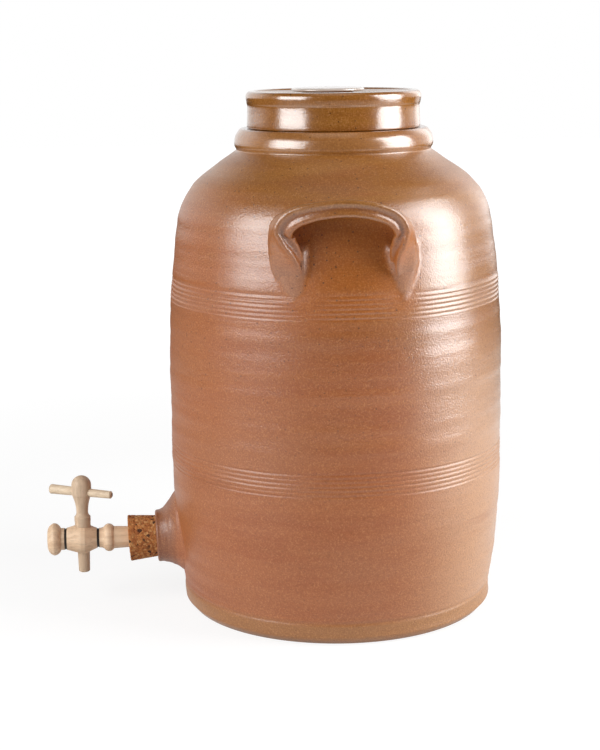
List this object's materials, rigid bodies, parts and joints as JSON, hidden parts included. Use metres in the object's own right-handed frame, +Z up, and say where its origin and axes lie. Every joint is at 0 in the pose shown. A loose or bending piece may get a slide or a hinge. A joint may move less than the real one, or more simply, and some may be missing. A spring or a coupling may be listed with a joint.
{
  "type": "stoneware water jug with tap",
  "caption": "Tall lidded stoneware water jug with ear handles and a turned wooden tap held by a cork near its base.",
  "frame": {"origin": "centre of the flat base, on the jug's axis", "axes": "+Z up, the tap points along -X, the ear handles lie towards -Y and +Y"},
  "size_m": [0.3906, 0.325, 0.4384],
  "materials": {
    "stoneware": "salt glaze, semi-gloss",
    "cork": "pressed cork",
    "beech": "bare turned wood"
  },
  "bodies": {
    "jug": {"jar": "stoneware", "lid": "stoneware", "cork": "cork", "tap_barrel": "beech"},
    "key": {"tap_key": "beech", "tap_handle": "beech"}
  },
  "joints": [
    {"name": "key_turn", "type": "hinge", "parent": "jug", "child": "key", "pos_m": [-0.2196, 0, 0.0576], "axis": [0, 0, 1], "continuous": true}
  ]
}
